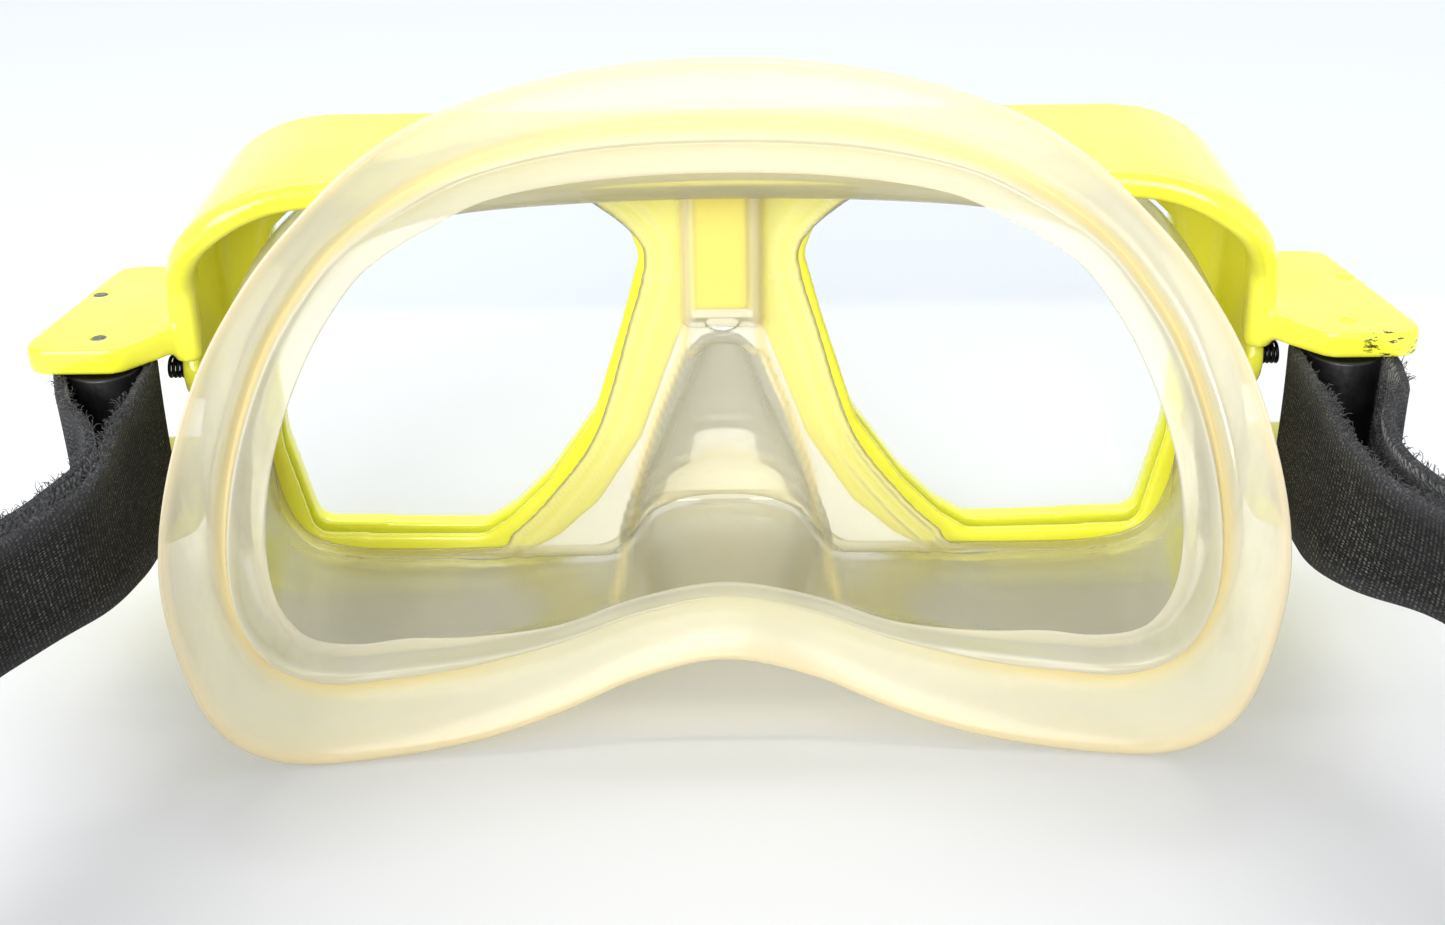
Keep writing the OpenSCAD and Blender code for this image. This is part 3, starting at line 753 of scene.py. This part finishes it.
def grow(poly, d):
    """Outline moved outwards by d."""
    p = np.asarray(poly, float)
    t = np.roll(p, -1, 0) - np.roll(p, 1, 0)
    n = np.column_stack([t[:, 1], -t[:, 0]])
    n /= np.linalg.norm(n, axis=1)[:, None] + 1e-9
    area = 0.5 * np.sum(p[:, 0] * np.roll(p[:, 1], -1) - np.roll(p[:, 0], -1) * p[:, 1])
    return p + n * d * (1 if area > 0 else -1)


lens_hole = grow(lens_loop, 1.2)
edge_outer = grow(root_loop, 1.0)
half_turn = np.linspace(-1.57, 1.57, 17)
bridge_hole = np.column_stack([2.7 * np.sin(half_turn), 47.2 - 2.1 * np.cos(half_turn)])
CELL = 0.6


def resampled(poly, gap):
    p = np.vstack([poly, poly[:1]])
    return even(p, int(np.linalg.norm(np.diff(p, axis=0), axis=1).sum() / gap) + 2)[:-1]


outlines = [resampled(o, CELL) for o in (edge_outer, lens_hole, lens_hole * (-1, 1), bridge_hole)]
gx, gz = (g.ravel() for g in np.meshgrid(np.arange(-76, 76.1, CELL), np.arange(2.5, 74.5, CELL)))
keep = inside(outlines[0], gx, gz)
for hole in outlines[1:]:
    keep &= ~inside(hole, gx, gz)
gx, gz = gx[keep], gz[keep]
clear_of = np.min([nearest(o, gx, gz)[2] for o in outlines], axis=0) > 0.35 * CELL
flat_points = [(float(a), float(b)) for a, b in zip(gx[clear_of], gz[clear_of])]
flat_edges = []
for o in outlines:
    base = len(flat_points)
    flat_points += [(float(a), float(b)) for a, b in o]
    flat_edges += [(base + i, base + (i + 1) % len(o)) for i in range(len(o))]
out_v, _, out_f, _, _, _ = delaunay_2d_cdt([Vector(p) for p in flat_points], flat_edges, [], 0, 1e-5)
web_x, web_z = np.array([v[0] for v in out_v]), np.array([v[1] for v in out_v])
tri = np.array([f for f in out_f if len(f) == 3])
mid_x, mid_z = web_x[tri].mean(axis=1), web_z[tri].mean(axis=1)
good = inside(outlines[0], mid_x, mid_z)
for hole in outlines[1:]:
    good &= ~inside(hole, mid_x, mid_z)
quads = [tuple(t) for t in tri[good]]


def nose_half(z):
    """Half width of the nose pocket's mouth at a height."""
    return np.interp(z, [4.2, 8, 12, 16, 24, 34, 41.6, 43.2, 44.2],
                     [17.4, 17.0, 16, 14.8, 11.6, 7.4, 4.6, 3.4, 1.5])


def web_depth(x, z):
    """Depth of the wearer's side of the web, then how tan and how milky it looks there."""
    ax = np.abs(x)
    y = np.full(x.shape, WEB_Y)
    w = nose_half(z)
    deep = np.interp(z, [3, 9, 12, 20, 30, 38, 42, 44.2], [15.0, 16.2, 16.6, 14.8, 10.5, 6.5, 4.6, 0])
    u = np.clip(ax / w, 0, 1)
    y += deep * np.power(np.clip(1 - u**2.6, 0, 1), 0.62)
    # lines down both sides of the pocket's mouth, running on from the bridge channel
    rib_x = np.interp(z, [5, 8, 20, 31, 43, 50, 71], [17.0, 16.2, 14.0, 10.7, 6.1, 5.5, 5.5])
    rib = np.exp(-(((ax - rib_x) / 0.55) ** 2)) * step(6, 9, z)
    y -= 0.9 * rib
    # channel over the frame's bridge
    in_channel = step(6.0, 5.0, ax) * step(46.6, 48.2, z) * step(72.6, 71.6, z)
    y -= 3.3 * in_channel
    # crease under the bridge
    crease_z = 42.9 - 0.03 * ax**2
    crease = np.exp(-(((z - crease_z) / 0.4) ** 2)) * step(6.4, 5.2, ax)
    y -= 0.6 * crease
    # tan line along the shallow fold where the pocket's floor turns up; the fold itself is only tinted, not
    # shaped
    fold_z = 15.5 - 0.045 * ax**2
    fold = np.exp(-(((z - fold_z) / 1.0) ** 2)) * step(12, 8, ax)
    _, _, d1 = nearest(lens_hole, ax, z)
    rim_line = np.exp(-(((d1 - 0.8) / 0.5) ** 2)) + 0.8 * np.exp(-(((d1 - 3.4) / 0.6) ** 2))
    y -= 0.6 * rim_line
    seam = np.exp(-(((z - 54.8) / 0.25) ** 2)) * step(6.5, 7.5, ax) * step(14.5, 12.5, ax)
    y -= 0.25 * seam
    dome = step(20, 13, z + 0.05 * ax**2) * step(13.5, 11, ax)
    tan = np.clip(0.95 * rib + 0.9 * crease + 0.35 * in_channel * step(4.9, 4.0, ax)
                  + 0.25 * dome + 0.2 * fold, 0, 1)
    milky = np.clip(0.10 + 0.55 * rib + 0.5 * crease + 0.14 * dome + 0.12 * seam + 0.10 * rim_line
                    + 0.25 * in_channel * step(3.8, 5.2, ax), 0, 1)
    return y, tan, milky


web_y, web_tan, web_milky = web_depth(web_x, web_z)
web_piece = make_mesh("skirt_web", place(np.column_stack([web_x, web_y, web_z])), quads, [SKIRT])
for name, value in (("zone", web_tan), ("haze", web_milky), ("edge", web_x * 0), ("grime", web_x * 0)):
    store(web_piece, name, value)
bm = bmesh.new()
bm.from_mesh(web_piece.data)
bmesh.ops.delete(bm, geom=[v for v in bm.verts if not v.link_faces], context="VERTS")
bm.to_mesh(web_piece.data)
bm.free()
solid = web_piece.modifiers.new("Thick", "SOLIDIFY")
solid.thickness = 0.0015
solid.offset = 0.0
relax = web_piece.modifiers.new("Relax", "SMOOTH")
relax.iterations = 2
apply_all(web_piece)
outward(web_piece)
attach(skirt_piece, "mask")
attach(web_piece, "mask")
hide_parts("skirt")

# ---------------------------------------------------------------- straps
ROLLER, ROLLER_R, STRAP_T, STRAP_W, EAR_MID_Z = (90.2, 8.2), 5.5, 1.8, 25.0, 39.0
STRAP = [(83.2, -5), (84, -16), (87, -26), (92.5, -36), (98, -48), (102, -62), (103.5, -78), (102.5, -95),
         (98.5, -112), (91, -128), (80, -141), (64, -152), (44, -160), (22, -164.6), (0, -166)]
PAD_H, PAD_T = 50.0, 5.0


def side_of(p):
    t = np.gradient(np.asarray(p, float), axis=0)
    t /= np.linalg.norm(t, axis=1)[:, None]
    return np.column_stack([-t[:, 1], t[:, 0]])


def strap_shift(s, shift):
    p = line_points(STRAP, s)
    q = (line_points(STRAP, np.asarray(s) + 0.05) - line_points(STRAP, np.asarray(s) - 0.05))
    q /= np.linalg.norm(q, axis=1)[:, None]
    return p + np.column_stack([-q[:, 1], q[:, 0]]) * shift


def drop(s):
    return EAR_MID_Z + (PAD_H / 2 - EAR_MID_Z) * np.clip((np.asarray(s) - 5) / 4, 0, 1)


def ribbon(line, height, lean, name, side, thick=STRAP_T, width=STRAP_W, across=16, wave=0.0, mats=None):
    """A flat band standing on its edge. lean turns each station about its length, in radians."""
    line = np.asarray(line, float)
    n2 = side_of(line)
    length = np.r_[0, np.cumsum(np.linalg.norm(np.diff(line, axis=0), axis=1))]
    verts, us, vs = [], [], []
    z_up = np.array([0, 0, 1])
    # section round the band: outside face up, inside face down, with rounded selvedges
    ring = [(-1, v) for v in np.linspace(-0.94, 0.94, across)] + [(-0.55, 1.0), (0.55, 1.0)]
    ring += [(1, v) for v in np.linspace(0.94, -0.94, across)] + [(0.55, -1.0), (-0.55, -1.0)]
    for i, p in enumerate(line):
        flat_out = np.array([n2[i][0], n2[i][1], 0])
        centre = np.array([p[0], p[1], height[i]])
        out = flat_out * math.cos(lean[i]) + z_up * math.sin(lean[i])
        up = -flat_out * math.sin(lean[i]) + z_up * math.cos(lean[i])
        sway = wave * math.sin(length[i] * 0.45 + 1.3)
        for a, v in ring:
            crown = 0.25 * (1 - v * v)
            verts.append(centre + out * (a * thick / 2 + crown) + up * (v * width / 2 + sway * v))
            us.append(length[i] / 1000)
            vs.append(v * width / 2000)
    verts = np.array(verts)
    m = len(ring)
    faces = grid_faces(len(line), m, False, True)
    faces += [tuple(range(m))[::-1], tuple((len(line) - 1) * m + k for k in range(m))]
    face_mats = [1 if across < k % m < 2 * across + 1 else 0 for k in range((len(line) - 1) * m)] + [0, 0]
    verts[:, 0] *= side
    obj = make_mesh(name, place(verts), faces, mats or [WOVEN, PILE], True, face_mats)
    for key, value in (("u", us), ("v", vs)):
        store(obj, key, value)
    outward(obj)
    return obj, verts, m


def fibres(seeds, normals, count_seed, length, radius, name, mats):
    """Short curled threads that stand on a surface."""
    rng = np.random.default_rng(count_seed)
    parts = []
    for p, n in zip(seeds, normals):
        n = n / np.linalg.norm(n)
        t = np.cross(n, rng.normal(size=3))
        t /= np.linalg.norm(t) + 1e-9
        h = length * rng.uniform(0.45, 1.15)
        bend = rng.uniform(0.3, 1.1) * h
        pts = [p - n * 0.1, p + n * h * 0.5 + t * bend * 0.25, p + n * h * 0.85 + t * bend * 0.7,
               p + n * h * 0.8 + t * bend * 1.2]
        parts.append(tube(place(pts), np.array([1, 1, 0.85, 0.6]) * radius / 1000, 3))
    v, f = join_parts(parts)
    return make_mesh(name, v, f, mats)


LEANS = {-1: 0.34, 1: 0.46}
BOW = {-1: -1.8, 1: 2.2}  # how far each side of the strap strays from the mirrored line, in mm
TAILS = {-1: [(92.6, -4), (88.8, -12.5), (88.9, -21), (93, -33), (99.2, -46)],
         1: [(95.6, -4), (93.4, -12), (94.6, -21), (98.4, -32), (103, -45)]}
for side, word in ((-1, "left"), (1, "right")):
    loop_r = ROLLER_R + 0.3 + STRAP_T / 2
    tail_s = np.linspace(7.6, 5.9, 12)
    tail_closed = strap_shift(tail_s, 3.4)
    tail_line = np.vstack([[ROLLER[0] + loop_r, ROLLER[1]], TAILS[side], strap_shift([5.6], 3.4)])
    open_s = np.linspace(len(tail_line) - 1.2, 0.3, 40)
    open_tail = line_points(tail_line, open_s)
    arc = np.array([(ROLLER[0] + loop_r * math.cos(a), ROLLER[1] + loop_r * math.sin(a))
                    for a in np.linspace(0, math.pi, 24)])
    main_s = np.linspace(0, 10.5, 110)
    main_line = line_points(STRAP, main_s)
    main_line[:, 0] += BOW[side] * step(0.6, 2.6, main_s) * step(6.4, 4.2, main_s)
    line = np.vstack([tail_closed, open_tail, arc, main_line])
    high = np.r_[drop(tail_s), np.full(len(open_tail) + len(arc), EAR_MID_Z), drop(main_s)]
    k_tail, k_arc = len(tail_closed) + len(open_tail), len(tail_closed) + len(open_tail) + len(arc)
    lean = np.zeros(len(line))
    # the near layer's foot leans outwards away from the roller, and comes upright again at the pad
    lean[k_arc:] = LEANS[side] * step(0.2, 2.6, main_s) * step(8.6, 5.2, main_s)
    lean[:k_tail] = -LEANS[side] * np.r_[step(8.6, 5.2, tail_s), step(0.6, 3.4, open_s)]
    strap, verts, m = ribbon(line, high, lean, "strap_band_" + word, side, wave=0.12)
    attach(strap, "mask")
    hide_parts("strap_webbing_" + word)
    # hook patch between the closed tail and the strap, leaning with both
    patch_s = np.linspace(6.1, 7.45, 14)
    patch, _, _ = ribbon(strap_shift(patch_s, 1.7), drop(patch_s), LEANS[side] * step(8.6, 5.2, patch_s),
                         "hook_tape_" + word, side, 1.1, STRAP_W - 3, mats=[HOOKS, HOOKS])
    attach(patch, "mask")
    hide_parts("hook_patch_" + word)
    # pile loops on the inside face of the open tail and round the roller, and fluff along its edges
    rng = np.random.default_rng(11 + side)
    across = 16
    grid = verts.reshape(len(line), m, 3)
    seeds, normals = [], []
    for _ in range(5200):
        i = int(rng.integers(8, k_arc + 45))
        j = across + 2 + rng.uniform(0, across - 1.01)
        a, b, w = grid[i, int(j)], grid[i, int(j) + 1], j - int(j)
        nxt = grid[i + 1, int(j)]
        seeds.append(a * (1 - w) + b * w + (nxt - a) * rng.uniform(0, 1))
        flat_n = np.cross(nxt - a, b - a)
        centre = grid[i].mean(axis=0)
        normals.append(flat_n * np.sign(flat_n @ (a - centre)))
    for _ in range(1500):
        i = int(rng.integers(2, k_arc + 60))
        j = across + (0 if rng.uniform() < 0.5 else 1)
        seeds.append(grid[i, j] + (grid[i + 1, j] - grid[i, j]) * rng.uniform(0, 1))
        normals.append(np.array([rng.normal() * 0.5, rng.normal() * 0.5, 1.0]))
    fuzz = fibres(seeds, normals, 5 + side, 1.0, 0.06, "strap_pile_" + word, [THREAD])
    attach(fuzz, "mask")

# ---------------------------------------------------------------- padded back band
s_right = np.linspace(8, 14, 70)
inner = strap_shift(s_right, -(STRAP_T + PAD_T) / 2 - 0.1)
band_line = even(np.vstack([inner, inner[-2::-1] * (-1, 1)]), 200)
n2 = side_of(band_line)
length = np.r_[0, np.cumsum(np.linalg.norm(np.diff(band_line, axis=0), axis=1))]
total = length[-1]
ring = []
for k in range(28):
    a = 2 * math.pi * k / 28
    c, s = math.cos(a), math.sin(a)
    ring.append((math.copysign(abs(c) ** 0.55, c), math.copysign(abs(s) ** 0.28, s)))
verts = []
for i, p in enumerate(band_line):
    end = min(length[i], total - length[i])
    full = math.sqrt(max(0.0, 1 - max(0, 1 - end / 12) ** 2)) * 0.98 + 0.02
    tallness = PAD_H / 2 * (0.45 + 0.55 * full)
    for a, v in ring:
        quilt = 0.86 + 0.14 * min(1.0, abs(math.sin(math.pi * (length[i] - total / 2) / 41)) * 2.2 + 0.2)
        t = PAD_T / 2 * (0.55 + 0.45 * full) * quilt
        verts.append((p[0] + n2[i][0] * a * t, p[1] + n2[i][1] * a * t, PAD_H / 2 + v * tallness))
m = len(ring)
faces = grid_faces(len(band_line), m, False, True)
faces += [tuple(range(m))[::-1], tuple((len(band_line) - 1) * m + k for k in range(m))]
pad = make_mesh("back_band_pad", place(verts), faces, [NEOPRENE])
outward(pad)
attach(pad, "mask")
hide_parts("strap_pad")

# ---------------------------------------------------------------- lever springs
for side, word in ((-1, "left"), (1, "right")):
    turns, r, wire, x0, length_mm = 4.0, 1.55, 0.27, 81.35, 2.6
    pts = [(side * (x0 + length_mm * k / 96), 18.5 + r * math.cos(2 * math.pi * turns * k / 96),
            46.3 + r * math.sin(2 * math.pi * turns * k / 96)) for k in range(97)]
    v, f = tube(place(pts), wire / 1000, 8)
    spring = make_mesh("spring_coil_" + word, v, f, [WIRE])
    outward(spring)
    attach(spring, "mask")
    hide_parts("lever_spring_" + word)

# ---------------------------------------------------------------- stage, light and camera
def stage_plane():
    mat, tree, shader = material("table_white")
    where = position(tree)
    xyz = tree.nodes.new("ShaderNodeSeparateXYZ")
    tree.links.new(where, xyz.inputs[0])
    beyond = tree.nodes.new("ShaderNodeMapRange")
    beyond.inputs["From Min"].default_value = 0.200
    beyond.inputs["From Max"].default_value = 0.208
    tree.links.new(xyz.outputs["Y"], beyond.inputs["Value"])
    soft = ramp(tree, noise(tree, where, 6, 2), [(0.3, (0.67, 0.673, 0.685)), (0.8, (0.70, 0.70, 0.71))])
    tone = mix(tree, beyond.outputs[0], soft, (0.61, 0.635, 0.675))
    tree.links.new(tone, shader.inputs["Base Color"])
    shader.inputs["Roughness"].default_value = 0.55
    shader.inputs["Specular IOR Level"].default_value = 0.2
    v = [(-3, -3, 0), (3, -3, 0), (3, 3, 0), (-3, 3, 0)]
    floor = make_mesh("table", v, [(0, 1, 2, 3)], [mat], False)


stage_plane()
world = bpy.data.worlds.new("studio")
world.use_nodes = True
world.node_tree.nodes["Background"].inputs["Color"].default_value = (0.93, 0.96, 1.0, 1)
world.node_tree.nodes["Background"].inputs["Strength"].default_value = 0.95
bpy.context.scene.world = world


def area_light(name, at, look, size, power, colour=(1, 1, 1)):
    """A soft box whose long side lies along X as far as it can."""
    data = bpy.data.lights.new(name, "AREA")
    data.shape = "RECTANGLE"
    data.size, data.size_y = size
    data.energy = power
    data.color = colour
    obj = bpy.data.objects.new(name, data)
    back = (Vector(at) - Vector(look)).normalized()
    along = (Vector((1, 0, 0)) - back * back.x).normalized()
    across = back.cross(along)
    obj.matrix_world = Matrix(((along.x, across.x, back.x, at[0]), (along.y, across.y, back.y, at[1]),
                               (along.z, across.z, back.z, at[2]), (0, 0, 0, 1)))
    bpy.context.scene.collection.objects.link(obj)


area_light("strip", (0, 0.24, 0.75), (0, 0.06, 0.06), (1.0, 0.04), 2.2)
area_light("fill", (-0.28, -0.85, 0.40), (0, 0, 0.04), (0.9, 0.6), 13.0)
area_light("window", (0.10, 0.62, 0.95), (0, 0.03, 0.02), (1.2, 0.5), 3.2)

camera_data = bpy.data.cameras.new("camera")
camera = bpy.data.objects.new("camera", camera_data)
bpy.context.scene.collection.objects.link(camera)
bpy.context.scene.camera = camera
camera_data.sensor_width = 36
camera_data.lens = 47.43
camera_data.clip_start = 0.005
camera.location = (0.0011, -0.1865, 0.1675)
pitch, yaw, roll = math.radians(27.9), math.radians(-0.3), math.radians(-0.9)
ahead = Vector((math.sin(yaw) * math.cos(pitch), math.cos(yaw) * math.cos(pitch), -math.sin(pitch)))
flat_right = Vector((math.cos(yaw), -math.sin(yaw), 0))
above = flat_right.cross(ahead)
right = flat_right * math.cos(roll) + above * math.sin(roll)
upright = above * math.cos(roll) - flat_right * math.sin(roll)
camera.rotation_euler = Matrix((right, upright, -ahead)).transposed().to_euler()
bpy.context.scene.view_settings.view_transform = "Standard"
bpy.context.scene.cycles.transparent_max_bounces = 32
bpy.context.scene.cycles.diffuse_bounces = 8
